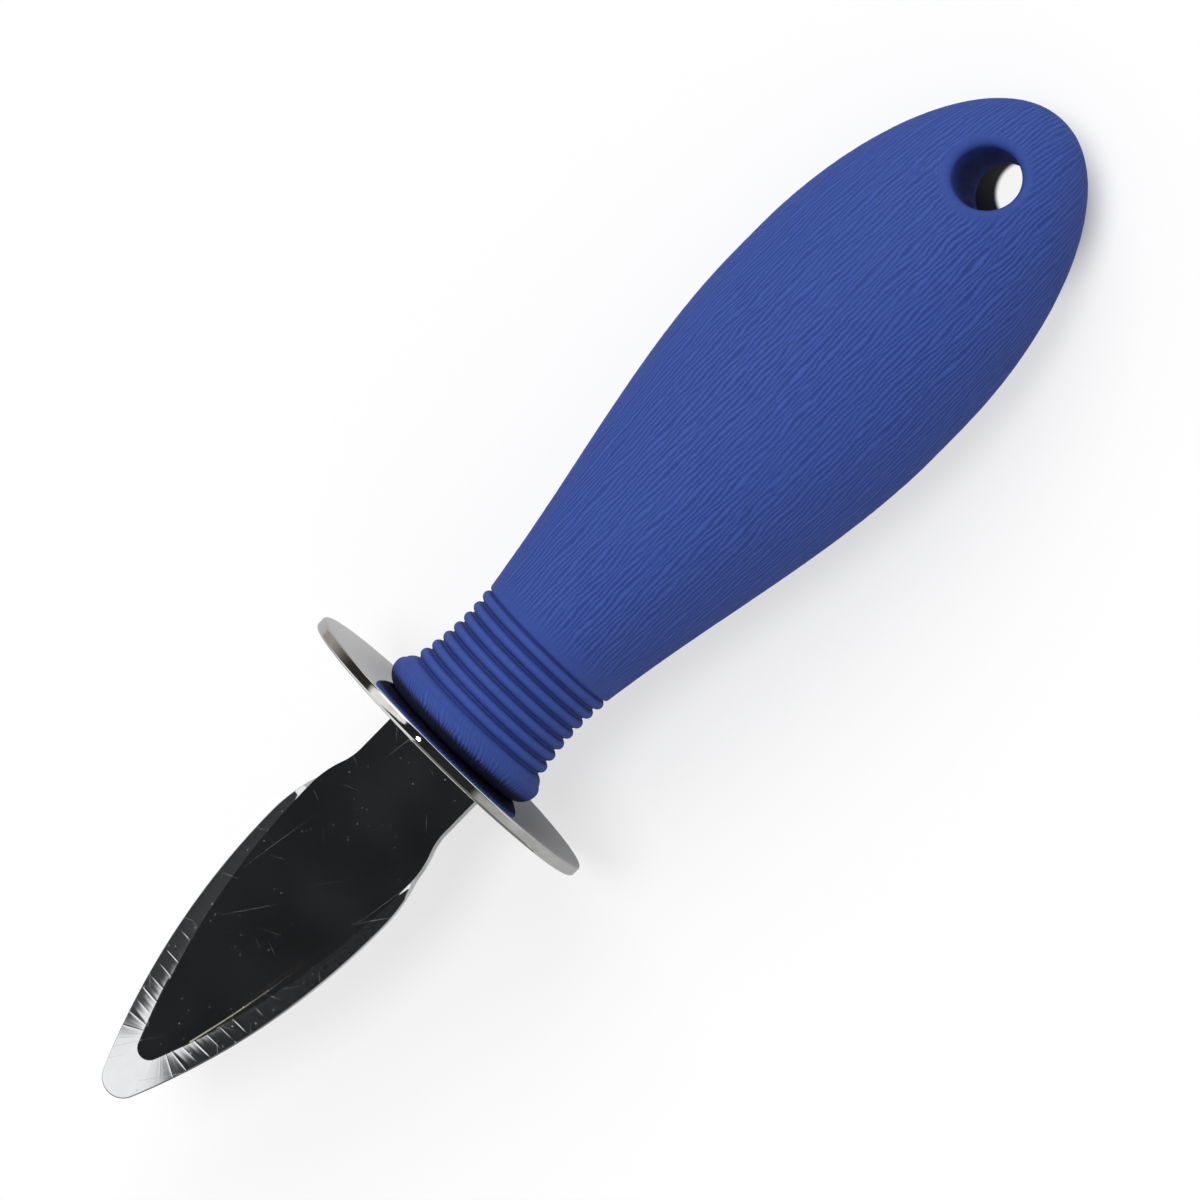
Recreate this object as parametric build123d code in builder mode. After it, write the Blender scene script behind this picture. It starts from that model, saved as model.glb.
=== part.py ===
from build123d import *
from math import asin, atan2, cos, degrees, radians, sin
import os

# Oyster knife: a leaf blade with a ground edge, a round guard and a soft two-part handle.
# +X runs along the knife towards the blade's tip and +Z is square to the blade's flat.
# The origin is the centre of the guard's front face. Lengths are in millimetres.
os.makedirs("parts", exist_ok=True)

# Blade: the leaf in front of the guard
blade_reach = 59.0
blade_width = 20.3
blade_thickness = 2.0
edge_thickness = 0.6
neck_width = 14.8
shoulder_start = 7.0
widest_place = 20.4
tip_radius = 2.7
hollow_share = 0.38

# Blade: the flat panel that the ground edge leaves
panel_width = 17.6
panel_widest_place = 14.5
panel_tip_gap = 6.4
panel_tip_radius = 1.3

# Blade: the tang inside the handle
shoulder_depth = 1.6
tang_length = 62.0
tang_root_width = 11.0
tang_end_width = 8.0
keying_hole_diameter = 4.0
keying_hole_shares = (0.34, 0.74)

# Guard
guard_diameter = 43.7
guard_thickness = 1.5
guard_edge_radius = 0.35
slot_clearance = 0.05

# Handle: the bead and the rings on its neck
bead_radius = 2.4
bead_ring_radius = 9.45
bead_length = 4.6
bead_back_radius = 1.21
bead_back_length = 0.98
bead_back_drop = 0.5
bead_step_radius = 1.6
ring_count = 7
ring_pitch = 1.717
ring_width = 1.36
ring_depth = 0.61
waist_radius = 9.88
waist_flare = 0.67
waist_place_share = 0.667

# Handle: the swelling body
handle_length = 106.1
handle_width = 35.2
handle_thickness = 26.5
body_start_radius = 9.95
body_edge_radius = 0.45
rise_slope_share = 0.13
swell_share = 0.557
butt_share = 0.398
swell_stations = 6
butt_angles = (14, 28, 41, 53, 64, 74, 82, 88)

# Handle: the hanging hole and the layers
hole_diameter = 8.2
hole_to_butt = 11.5
hole_lip_radius = 1.0
hole_lining = 1.6
skin_thickness = 2.6
flange_radius = 9.1
flange_length = 3.2

# One length that carries every cut past the surface it breaks
overrun = 2.0

# Places of the tang, on the knife's long axis
tang_start = -(guard_thickness + shoulder_depth)
tang_end = -(guard_thickness + tang_length)

# Places along the handle, measured back from the guard's front face
rings_start = guard_thickness + bead_length
body_start = rings_start + ring_count * ring_pitch
butt_end = guard_thickness + handle_length
body_length = butt_end - body_start
belly_front = body_start + swell_share * body_length
belly_back = butt_end - butt_share * body_length
hole_place = butt_end - hole_to_butt
valley_half = (ring_pitch - ring_width) / 2
core_neck_radius = body_start_radius - skin_thickness


def leaf(height, neck_half, widest, half_width, reach, end_radius):
    """A leaf on a straight neck: tangent arcs out of the neck, along the side and round the tip."""
    swing = 2 * atan2(half_width - neck_half, widest - shoulder_start)
    both_radii = (widest - shoulder_start) / sin(swing)
    run = reach - end_radius - widest
    side_radius = (run**2 + half_width**2 - end_radius**2) / (2 * (half_width - end_radius))
    taper = degrees(asin(run / (side_radius - end_radius)))
    with BuildSketch(Plane.XY.offset(height)) as outline:
        with BuildLine():
            neck = Line((tang_start, neck_half), (shoulder_start, neck_half))
            hollow = JernArc(neck @ 1, neck % 1, hollow_share * both_radii, degrees(swing))
            crown = JernArc(hollow @ 1, hollow % 1, (1 - hollow_share) * both_radii, -degrees(swing))
            side = JernArc(crown @ 1, crown % 1, side_radius, -taper)
            JernArc(side @ 1, side % 1, end_radius, taper - 90)
            mirror(about=Plane.XZ)
            Line(neck @ 0, (tang_start, -neck_half))
        make_face()
    return outline.sketch


def edge_leaf(height):
    """The blade's outline at its cutting edge."""
    return leaf(height, neck_width / 2, widest_place, blade_width / 2, blade_reach, tip_radius)


def panel_leaf(height):
    """The outline of the flat panel inside the ground edge."""
    panel_reach = blade_reach - panel_tip_gap
    half_width = panel_width / 2
    return leaf(height, neck_width / 2, panel_widest_place, half_width, panel_reach, panel_tip_radius)


def waist(back):
    """Radius of the ring crests at a distance behind the guard's front face."""
    first_crest = rings_start + ring_pitch / 2
    last_crest = body_start - ring_pitch / 2
    middle = first_crest + waist_place_share * (last_crest - first_crest)
    return waist_radius + waist_flare * ((back - middle) / (middle - first_crest)) ** 2


def swell_size(share, start, end, slope):
    """A smooth rise from start to end, leaving start at a slope and reaching end level."""
    rise = slope * (belly_front - body_start)
    level_in = 2 * share**3 - 3 * share**2 + 1
    return start * level_in + rise * (share**3 - 2 * share**2 + share) + end * (1 - level_in)


def body_section(back, half_width, half_thickness):
    """One elliptical section of the handle, square to its length."""
    with BuildSketch(Plane((-back, 0, 0), x_dir=(0, 1, 0), z_dir=(-1, 0, 0))) as section:
        Ellipse(half_width, half_thickness)
    return section.sketch


def body_sections(skin):
    """The sections of the swelling body and its rounded butt, drawn in by a skin."""
    start_radius = body_start_radius - skin
    half_width = handle_width / 2 - skin
    half_thickness = handle_thickness / 2 - skin
    sections = []
    for station in range(swell_stations):
        share = station / (swell_stations - 1)
        back = body_start + share * (belly_front - body_start)
        section_width = swell_size(share, start_radius, half_width, rise_slope_share)
        section_thickness = swell_size(share, start_radius, half_thickness, rise_slope_share)
        sections.append(body_section(back, section_width, section_thickness))
    sections.append(body_section(belly_back, half_width, half_thickness))
    for angle in butt_angles:
        shrink = cos(radians(angle))
        back = belly_back + (butt_end - skin - belly_back) * sin(radians(angle))
        sections.append(body_section(back, half_width * shrink, half_thickness * shrink))
    return sections


def on_hole_rim(edge):
    """True for the two edges where the hanging hole meets the outside of the grip."""
    return abs(edge.bounding_box().center().X + hole_place) < hole_diameter / 4


# The blade, ground on both faces, with its tang
with BuildPart() as blade:
    loft([edge_leaf(edge_thickness / 2), panel_leaf(blade_thickness / 2)], ruled=True)
    extrude(edge_leaf(0), amount=edge_thickness / 2)
    mirror(about=Plane.XY)
    with BuildSketch():
        with BuildLine():
            Polyline(
                (tang_start + overrun, 0),
                (tang_start + overrun, tang_root_width / 2),
                (tang_start, tang_root_width / 2),
                (tang_end + tang_end_width / 2, tang_end_width / 2),
            )
            CenterArc((tang_end + tang_end_width / 2, 0), tang_end_width / 2, 90, 90)
            mirror(about=Plane.XZ)
        make_face()
    extrude(amount=blade_thickness / 2, both=True)
    with Locations([(-guard_thickness - share * tang_length, 0, 0) for share in keying_hole_shares]):
        Hole(keying_hole_diameter / 2, blade_thickness + overrun)
blade.part.label = "blade"
export_step(blade.part, "parts/blade.step")

# The guard, a flat disc with rounded edges and a slot for the neck
with BuildPart() as guard:
    with BuildSketch(Plane.YZ):
        Circle(guard_diameter / 2)
    extrude(amount=-guard_thickness)
    fillet(guard.edges().filter_by(GeomType.CIRCLE), guard_edge_radius)
    with BuildSketch(Plane.YZ.offset(overrun)):
        Rectangle(neck_width + 2 * slot_clearance, blade_thickness + 2 * slot_clearance)
    extrude(amount=-(guard_thickness + 2 * overrun), mode=Mode.SUBTRACT)
guard.part.label = "guard"
export_step(guard.part, "parts/guard.step")

# The hard core moulded round the tang: a flange, a round neck and the swelling body
with BuildPart() as handle_core:
    loft(body_sections(skin_thickness), ruled=True)
    with BuildSketch(Plane.YZ.offset(-guard_thickness)):
        Circle(core_neck_radius)
    extrude(amount=-(body_start - guard_thickness))
    with BuildSketch(Plane.YZ.offset(-guard_thickness)):
        Circle(flange_radius)
    extrude(amount=-flange_length)
    add(blade.part, mode=Mode.SUBTRACT)
    with Locations((-hole_place, 0, 0)):
        Hole(hole_diameter / 2 + hole_lining, handle_thickness)
handle_core.part.label = "handle_core"
export_step(handle_core.part, "parts/handle_core.step")

# The soft grip moulded over the core: the body, then the bead and rings turned as one profile
with BuildPart() as grip:
    loft(body_sections(0))
    body_rim = grip.faces().sort_by(Axis.X)[-1].edges()
    fillet(body_rim, body_edge_radius)
    with BuildSketch():
        with BuildLine():
            front = Line((-guard_thickness, 0), (-guard_thickness, bead_ring_radius))
            crest = Vector(-(guard_thickness + bead_radius), bead_ring_radius + bead_radius)
            groove = crest - Vector(bead_back_length, bead_back_drop)
            valley = Vector(-(rings_start - valley_half), waist(rings_start) - ring_depth)
            RadiusArc(front @ 1, crest, -bead_radius)
            RadiusArc(crest, groove, -bead_back_radius)
            RadiusArc(groove, valley, -bead_step_radius)
            for ring in range(ring_count):
                crest_back = rings_start + (ring + 0.5) * ring_pitch
                ring_start = Vector(-(crest_back - ring_width / 2), valley.Y)
                valley_radius = waist(crest_back + ring_pitch / 2) - ring_depth
                ring_end = Vector(-(crest_back + ring_width / 2), valley_radius)
                Line(valley, ring_start)
                ThreePointArc(ring_start, (-crest_back, waist(crest_back)), ring_end)
                valley = ring_end
            inside = Line(valley, (-(body_start + overrun), valley.Y))
            Polyline(inside @ 1, (-(body_start + overrun), 0), front @ 0)
        make_face()
    revolve(axis=Axis.X)
    with Locations((-hole_place, 0, 0)):
        Hole(hole_diameter / 2, handle_thickness)
    fillet(grip.edges().filter_by(on_hole_rim), hole_lip_radius)
    add(handle_core.part, mode=Mode.SUBTRACT)
    add(blade.part, mode=Mode.SUBTRACT)
grip.part.label = "grip"
export_step(grip.part, "parts/grip.step")
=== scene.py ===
import bmesh
import bpy
import math
import numpy as np
from mathutils import Matrix, Vector, noise


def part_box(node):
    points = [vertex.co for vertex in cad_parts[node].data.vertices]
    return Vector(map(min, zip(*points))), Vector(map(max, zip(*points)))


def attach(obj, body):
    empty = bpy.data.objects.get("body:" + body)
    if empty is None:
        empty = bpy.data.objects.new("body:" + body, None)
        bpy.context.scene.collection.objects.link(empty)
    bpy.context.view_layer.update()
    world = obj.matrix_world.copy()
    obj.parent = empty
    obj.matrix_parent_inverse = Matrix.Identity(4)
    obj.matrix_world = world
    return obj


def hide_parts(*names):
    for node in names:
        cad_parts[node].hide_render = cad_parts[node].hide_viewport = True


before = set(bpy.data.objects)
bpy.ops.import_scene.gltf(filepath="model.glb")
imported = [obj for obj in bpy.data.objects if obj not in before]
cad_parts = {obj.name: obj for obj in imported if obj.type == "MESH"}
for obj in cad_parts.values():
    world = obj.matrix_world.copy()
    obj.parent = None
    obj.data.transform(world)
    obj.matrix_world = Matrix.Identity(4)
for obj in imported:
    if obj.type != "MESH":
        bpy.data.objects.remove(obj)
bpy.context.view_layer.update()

# Lengths below are in millimetres in the knife's own frame, and MM turns them into metres.
# "Back" is a distance behind the guard's front face, towards the butt.
MM = 0.001
FULL_TURN = 2 * math.pi

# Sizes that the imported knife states
guard_low, guard_high = (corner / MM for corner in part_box("guard"))
blade_low, blade_high = (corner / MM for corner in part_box("blade"))
grip_low, grip_high = (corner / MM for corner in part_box("grip"))
guard_thickness = -guard_low.x
guard_radius = guard_high.z
blade_reach = blade_high.x
blade_half_thickness = blade_high.z
blade_half_width = blade_high.y
tang_end = blade_low.x
belly_half_width = grip_high.y
belly_half_thickness = grip_high.z
butt_end = -grip_low.x

# Blade: the leaf, its ground edge and its tang
neck_half_width = 7.4
shoulder_start = 7.0
hollow_share = 0.38
widest_place = 20.4
tip_radius = 2.7
panel_half_width = 8.8
panel_widest_place = 14.5
panel_tip_gap = 6.4
panel_tip_radius = 1.3
panel_rounding = 0.04
band_join = 49.5
edge_bevel = 0.13
edge_bevel_depth = 0.2
edge_half_thickness = 0.3
shoulder_depth = 1.6
tang_start = -(guard_thickness + shoulder_depth)
tang_root_half_width = 5.5
tang_end_half_width = 4.0
keying_hole_radius = 2.0
keying_hole_shares = (0.34, 0.74)

# Blade: the lines of the grinding on its ground band, clear of the band's borders
grinding_pitch = 1.7
grinding_line_width = 0.10
grinding_line_height = 0.0035
grinding_hollow = 0.0012
grinding_margin = 0.4
grinding_growth = (22.0, 48.0)
last_line = 54.5
last_line_fade = 2.5

# Blade: a long yellowish line on the panel, a painted reflection along its border
mark_middle = (36.14, 5.55)
mark_half = 11.0
mark_slope = -0.182
mark_bow = 0.0034
mark_width = 0.21
mark_end = 0.4
painted_reflection_colour = (0.86, 0.80, 0.58, 1)

# Hair scratches on the metal: turn, length, width, share of places that have one, and seed
hair_scratches = (
    (0.62, 11.0, 0.05, 0.006, 1.0),
    (1.12, 4.0, 0.04, 0.004, 11.0),
    (0.15, 14.0, 0.05, 0.004, 23.0),
    (-0.8, 3.0, 0.05, 0.002, 37.0),
    (1.9, 2.5, 0.04, 0.002, 53.0),
)

# Guard
guard_edge_radius = 0.35
guard_unevenness = 0.004
slot_clearance = 0.05
slot_half_width = neck_half_width + slot_clearance
slot_half_height = blade_half_thickness + slot_clearance

# Handle: the bead and the rings on its neck
bead_radius = 2.4
bead_ring_radius = 9.45
bead_length = 4.6
bead_back_radius = 1.21
bead_back_length = 0.98
bead_back_drop = 0.5
bead_step_radius = 1.6
bead_hair_pitch = 0.5
bead_hair_depth = 0.035
bead_hair_fade = 1.6
bead_hair_least = 0.12
rings_start = guard_thickness + bead_length
ring_count = 7
ring_pitch = 1.717
ring_width = 1.36
ring_depth = 0.61
ring_unevenness = 0.012
waist_radius = 9.88
waist_flare = 0.67
waist_place_share = 0.667
neck_overlap = 0.4
neck_end_depth = 1.5

# Handle: the swelling body and its butt, drawn as two pieces that meet at one row of points
swell_share = 0.557
butt_share = 0.398
seam_row = 122
body_start = rings_start + ring_count * ring_pitch
body_length = butt_end - body_start
belly_front = body_start + swell_share * body_length
belly_back = butt_end - butt_share * body_length
body_start_radius = 9.95
body_edge_radius = 0.45
body_end_depth = 1.2
rise_slope_share = 0.13
last_row_turn = math.radians(89.2)

# Handle: the hanging hole, and the window round it that rings of points fill
hole_to_butt = 11.5
hole_place = butt_end - hole_to_butt
hole_radius = 4.1
hole_lip_radius = 1.0
hole_wall_shares = (0.7, 0.35)
hole_window = 7.0
hole_window_angle = math.radians(33)

# Handle: the moulded grain, and where it fades out
grain_pitch = 0.59
grain_length = 4.5
grain_depth = 0.040
grain_front_gap = 1.0
grain_front_fade = 2.6
grain_butt_fade = 0.4
grain_hole_gap = 0.05
grain_hole_fade = 0.9
underside_seed = 40.0

# Mesh counts. The blade's are along its neck, hollow, crown, side and tip.
blade_steps = (24, 60, 80, 700, 60)
bevel_rows = 10
tang_end_steps = 24
keying_hole_steps = 32
guard_columns = 360
guard_rounding_steps = 8
neck_columns = 760
bead_steps = 18
bead_back_steps = 8
ring_steps = 11
body_columns = 800
shoulder_rows = 6
swell_rows = 118
belly_rows = 9
butt_rows = 105
hole_surface_rings = 16
hole_lip_rings = 8
section_cuts = 25

# Finishes
blade_colour = (0.78, 0.785, 0.795, 1)
guard_colour = (0.66, 0.66, 0.65, 1)
grip_colour = (0.0386, 0.0748, 0.3105, 1)
core_colour = (0.012, 0.012, 0.014, 1)
polish = 0.035
blade_marks = 0.7
guard_marks = 0.4
marks_roughness = 0.28
painted_line_roughness = 0.34
# Next to the guard the blue is painted near black, a painted shade, over this span of x in millimetres
painted_shade_by_guard = (-3.6, -2.7)
white = (1, 1, 1, 1)

# The studio's ceiling, a painted reflection which only the metal shows. Its places are slopes from
# straight up.
ceiling_height = 4000.0
ceiling_corners = ((-3, -6), (-3, 9), (3, 9), (3, -6))
black_edge = 0.325
black_edge_slant = 0.045
black_softness = 0.01
black_gap_far = (-1.7, -1.3)
black_gap_near = (-0.46, -0.34)
black_gap_front = (0.12, 0.16)
black_levels = (0.007, 0.029)
black_colour = (0.95, 1.0, 1.03, 1)

# The cloths beside the guard, glowing sheets which only the metal shows, so painted reflections: name,
# place across, bottom and top, heights of fading in and of fading out, levels at the foot and above it,
# and colour
side_cloths = (
    ("dark", -45.0, (-12, 56), (-10, -4), (46, 54), (0.42, 0.035), (1.0, 0.93, 0.84, 1)),
    ("white", -46.0, (42, 168), (42, 45), (154, 166), (1.0, 1.0), (1.0, 0.98, 0.94, 1)),
    ("grey", 60.0, (-19, 80), (-18, -12), (57, 75), (0.5, 0.5), (1.0, 1.0, 0.98, 1)),
)
cloth_back = -30.0
cloth_front = 12.0
foot_height = 27.0

# The dim cloth ahead of the guard's rim, and the bright spot above the guard: painted reflections which
# only the metal shows, the spot a painted glint
rim_cloth_ahead = 3.0
rim_cloth_radii = (21.2, 36.0)
rim_cloth_turns = (1, 70)
rim_cloth_steps = 24
rim_cloth_level = 0.2
rim_cloth_colour = (1.0, 0.98, 0.94, 1)
spark_place = (0.38, 0.4, 33.85)
spark_size = 1.0
spark_level = 60.0

# The floor, and the deep shade with a light spot painted on it under the hanging hole
floor_radius = 150.0
floor_centre_back = 26.0
floor_sides = 128
floor_gap = 0.07
floor_below_hole = 10.3
floor_colour = (0.85, 0.85, 0.85, 1)
# In the metal's reflections the sheet is painted grey, a painted shade, and nearly black further ahead
floor_mirrored = (0.54, 0.54, 0.54, 1)
floor_mirrored_far = (0.16, 0.16, 0.18, 1)
floor_far_reach = (45.0, 75.0)
deep_shade = (0.06, 0.06, 0.06, 1)
deep_shade_reach = (5.5, 12.5)
shadow_lift = 0.6
shadow_lift_reach = (6.0, 15.0)
# The painted light spot in the painted shade: its shift from the hole, its lift and its reach
lit_shift = (2.2, 0.98)
lit_lift = 0.9
lit_reach = (3.8, 4.5)

# Each lamp's strength, direction and softness in degrees, and the room's light
top_lamp = (0.95, (0.105, -0.047, 1.0), 18.0)
key_lamp = (1.14, (-0.56, -0.61, 1.0), 45.0)
room_light = 0.46

# The photograph's camera
picture_width = 1200
pixels_per_mm = 8.2
focal_pixels = 8755
aim_back = 26.5
aim_across = 0.67
lean_to_butt = math.radians(3.76)
roll_across = math.radians(12.0)
axis_angle = math.radians(45.465)
sensor_width = 36.0


def ride_knife(name, mesh, material, smooth_angle):
    """A piece from a mesh, shaded smooth up to an angle, that rides on the knife's one body."""
    mesh.shade_smooth()
    mesh.set_sharp_from_angle(angle=smooth_angle)
    mesh.materials.append(material)
    piece = bpy.data.objects.new(name, mesh)
    bpy.context.scene.collection.objects.link(piece)
    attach(piece, "root")
    return piece


def from_points(name, vertices, faces, material, smooth_angle):
    """A closed piece from points in millimetres, with every face turned outwards."""
    mesh = bpy.data.meshes.new(name)
    mesh.from_pydata([tuple(p) for p in np.asarray(vertices, float) * MM], [], faces)
    mesh.validate()
    mesh.update()
    piece = ride_knife(name, mesh, material, smooth_angle)
    shape = bmesh.new()
    shape.from_mesh(piece.data)
    bmesh.ops.recalc_face_normals(shape, faces=shape.faces)
    shape.to_mesh(piece.data)
    shape.free()
    return piece


def from_shape(name, shape, material, smooth_angle):
    """A closed piece from an edited shape, with every face turned outwards."""
    bmesh.ops.recalc_face_normals(shape, faces=shape.faces)
    mesh = bpy.data.meshes.new(name)
    shape.to_mesh(mesh)
    shape.free()
    return ride_knife(name, mesh, material, smooth_angle)


def closed_edges(shape, loop):
    """New edges round a closed loop of points."""
    return [shape.edges.new((loop[i], loop[(i + 1) % len(loop)])) for i in range(len(loop))]


def bridge(shape, first, second):
    """Quads between two closed loops with as many points."""
    for i in range(len(first)):
        j = (i + 1) % len(first)
        shape.faces.new((first[i], first[j], second[j], second[i]))


def tube_faces(rows, columns, skip=None):
    """Quads round a tube of points stored row by row, but for skipped ones, and a face at each end."""
    faces = []
    for row in range(rows - 1):
        for column in range(columns):
            if skip is not None and skip(row, column):
                continue
            after = (column + 1) % columns
            faces.append((row * columns + column, row * columns + after,
                          (row + 1) * columns + after, (row + 1) * columns + column))
    last = (rows - 1) * columns
    return faces + [tuple(range(columns)), tuple(last + c for c in reversed(range(columns)))]


def even_turns(count):
    """Even turns round a full circle."""
    return np.linspace(0, FULL_TURN, count, endpoint=False)


def round_points(centre, radius, turns):
    """Points round a centre on the knife's axis, one at each of the turns."""
    return [(centre + radius * math.cos(a), radius * math.sin(a)) for a in turns]


def sections(back, half_width, half_thickness, columns):
    """Rows of points round elliptical sections of the knife, each from its top."""
    turns = even_turns(columns)
    back, across, up = (values[:, None] for values in (back, half_width, half_thickness))
    return np.stack((-back + 0 * turns, across * np.sin(turns), up * np.cos(turns)), axis=2)


def noise_at(x, y, seed):
    """Smooth noise of two arrays, the same on every run."""
    x, y = np.broadcast_arrays(x, y)
    flat = [noise.noise((a, b, seed)) for a, b in zip(x.ravel(), y.ravel())]
    return np.array(flat).reshape(x.shape)


def toned(colour, gains):
    """A colour with its red, green and blue multiplied by three gains."""
    return tuple(c * gain for c, gain in zip(colour, gains)) + (1,)


class Nodes:
    """A short way to build the nodes of a material or of the world."""

    def __init__(self, owner, output="OutputMaterial"):
        owner.use_nodes = True
        self.owner = owner
        self.tree = owner.node_tree
        self.tree.nodes.clear()
        self.output = self.add(output)

    def feed(self, socket, value):
        """Links a socket to another one, or sets its value."""
        if isinstance(value, bpy.types.NodeSocket):
            self.tree.links.new(value, socket)
        else:
            socket.default_value = value

    def add(self, kind, inputs=None, **settings):
        """A node with its settings and its inputs."""
        node = self.tree.nodes.new("ShaderNode" + kind)
        for key, value in settings.items():
            setattr(node, key, value)
        for key, value in (inputs or {}).items():
            self.feed(node.inputs[key], value)
        return node

    def position(self):
        """The place on the object, in metres in the knife's frame."""
        return self.add("TexCoord").outputs["Object"]

    def split(self, vector):
        """The x, y and z of a vector."""
        return self.add("SeparateXYZ", {0: vector}).outputs

    def stretched(self, coordinates, scale, turn=(0, 0, 0)):
        """Coordinates turned and scaled, for a pattern with a grain."""
        return self.add("Mapping", {"Vector": coordinates, "Scale": scale, "Rotation": turn}).outputs[0]

    def noise(self, coordinates, scale=1.0, detail=2.0, roughness=0.5, distortion=0.0):
        """Smooth noise from 0 to 1."""
        settings = {"Vector": coordinates, "Scale": scale, "Detail": detail,
                    "Roughness": roughness, "Distortion": distortion}
        return self.add("TexNoise", settings).outputs["Fac"]

    def distance(self, first, place):
        """Distance in metres from a place given in millimetres."""
        place = tuple(length * MM for length in place)
        return self.add("VectorMath", {0: first, 1: place}, operation="DISTANCE").outputs["Value"]

    def ramp(self, value, low, high, start=0.0, end=1.0):
        """value from low..high mapped smoothly to start..end."""
        settings = {"Value": value, "From Min": low, "From Max": high, "To Min": start, "To Max": end}
        return self.add("MapRange", settings, interpolation_type="SMOOTHSTEP").outputs[0]

    def fade(self, length, reach, start=0.0, end=1.0):
        """A length mapped smoothly to start..end over a reach given in millimetres."""
        return self.ramp(length, reach[0] * MM, reach[1] * MM, start, end)

    def math(self, operation, first, second=0.0):
        """The result of one sum."""
        return self.add("Math", {0: first, 1: second}, operation=operation).outputs[0]

    def mix_colour(self, factor, first, second):
        """One colour turning into another as factor goes from 0 to 1."""
        return self.add("Mix", {0: factor, 6: first, 7: second}, data_type="RGBA").outputs[2]

    def mix_shader(self, factor, first, second):
        """One shader turning into another as factor goes from 0 to 1."""
        return self.add("MixShader", {0: factor, 1: first.outputs[0], 2: second.outputs[0]})

    def bump(self, strength, distance, height):
        """A fine relief of a surface too small to be a shape."""
        inputs = {"Strength": strength, "Distance": distance * MM, "Height": height}
        return self.add("Bump", inputs).outputs[0]

    def finish(self, shader):
        """Sends a shader to the output, and gives back the material or world."""
        self.feed(self.output.inputs["Surface"], shader.outputs[0])
        return self.owner


def material_nodes(name):
    """The nodes of a new material."""
    return Nodes(bpy.data.materials.new(name))


def scratches(n, position, turn, length, width, share, seed):
    """Straight hair scratches in one direction: thin strokes at random places, faded at both ends."""
    turned = n.stretched(position, (1, 1, 1), (0, 0, turn))
    x, y = n.split(turned)[:2]
    bend = n.math("MULTIPLY", n.noise(turned, 55.0, 0.0), 0.6 * MM)
    line = n.math("FLOOR", n.math("MULTIPLY", n.math("ADD", y, bend), 1 / MM / width))
    start = n.add("TexWhiteNoise", {"W": n.math("ADD", line, seed)}, noise_dimensions="1D")
    along = n.math("MULTIPLY", x, 1 / MM / length)
    along = n.math("ADD", along, n.math("MULTIPLY", start.outputs["Value"], 37.0))
    stroke = n.math("FLOOR", along)
    where = n.add("CombineXYZ", {0: line, 1: stroke, 2: seed})
    pick = n.add("TexWhiteNoise", {"Vector": where.outputs[0]}, noise_dimensions="3D")
    chosen = n.ramp(pick.outputs["Value"], 1 - share, 1.0)
    rise = n.math("SINE", n.math("MULTIPLY", n.math("FRACT", along), math.pi))
    return n.math("MULTIPLY", chosen, rise)


def painted_reflection_line(n, position):
    """The mask of a painted reflection: one long bowed line inside the panel's border, strongest at its
    tip end.
    """
    x, y = n.split(position)[:2]
    along = n.math("SUBTRACT", x, mark_middle[0] * MM)
    bow = n.math("MULTIPLY", n.math("MULTIPLY", along, along), mark_bow / MM)
    level = n.math("SUBTRACT", n.math("MULTIPLY", along, mark_slope), bow)
    off = n.math("SUBTRACT", y, n.math("ADD", level, mark_middle[1] * MM))
    line = n.fade(n.math("ABSOLUTE", off), (0.0, mark_width), 1.0, 0.0)
    rise = n.fade(along, (-mark_half, mark_half))
    end = n.fade(along, (mark_half, mark_half + mark_end), 1.0, 0.0)
    return n.math("MULTIPLY", line, n.math("MULTIPLY", rise, end))


def steel(name, colour, roughness, marks_strength):
    """Polished stainless steel with faint smudges, hair scratches, specks and a long yellowish line that
    is a painted reflection.
    """
    n = material_nodes(name)
    position = n.position()
    smudge = n.noise(position, 90.0, 4.0, 0.55, 0.4)
    cloud = n.noise(position, 260.0, 3.0, 0.6)
    speck_cells = n.add("TexVoronoi", {"Vector": position, "Scale": 1000.0, "Randomness": 1.0})
    speck = n.ramp(speck_cells.outputs["Distance"], 0.05, 0.17, 1.0, 0.0)
    marks = n.math("MULTIPLY", speck, n.ramp(cloud, 0.44, 0.58))
    for scratch in hair_scratches:
        marks = n.math("MAXIMUM", marks, scratches(n, position, *scratch))
    marks = n.math("MULTIPLY", marks, marks_strength)
    # A long yellowish line of painted reflection on the panel, with rougher metal along it
    painted_line = painted_reflection_line(n, position)
    rough = n.ramp(smudge, 0.35, 0.7, roughness, roughness * 1.5)
    rough = n.math("ADD", rough, n.math("MULTIPLY", marks, marks_roughness))
    rough = n.math("ADD", rough, n.math("MULTIPLY", painted_line, painted_line_roughness))
    tint = n.mix_colour(n.ramp(cloud, 0.3, 0.7), colour, toned(colour, (1.06, 1.06, 1.06)))
    tint = n.mix_colour(painted_line, tint, painted_reflection_colour)
    return n.finish(n.add("BsdfPrincipled", {"Base Color": tint, "Metallic": 1.0, "Roughness": rough}))


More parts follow.
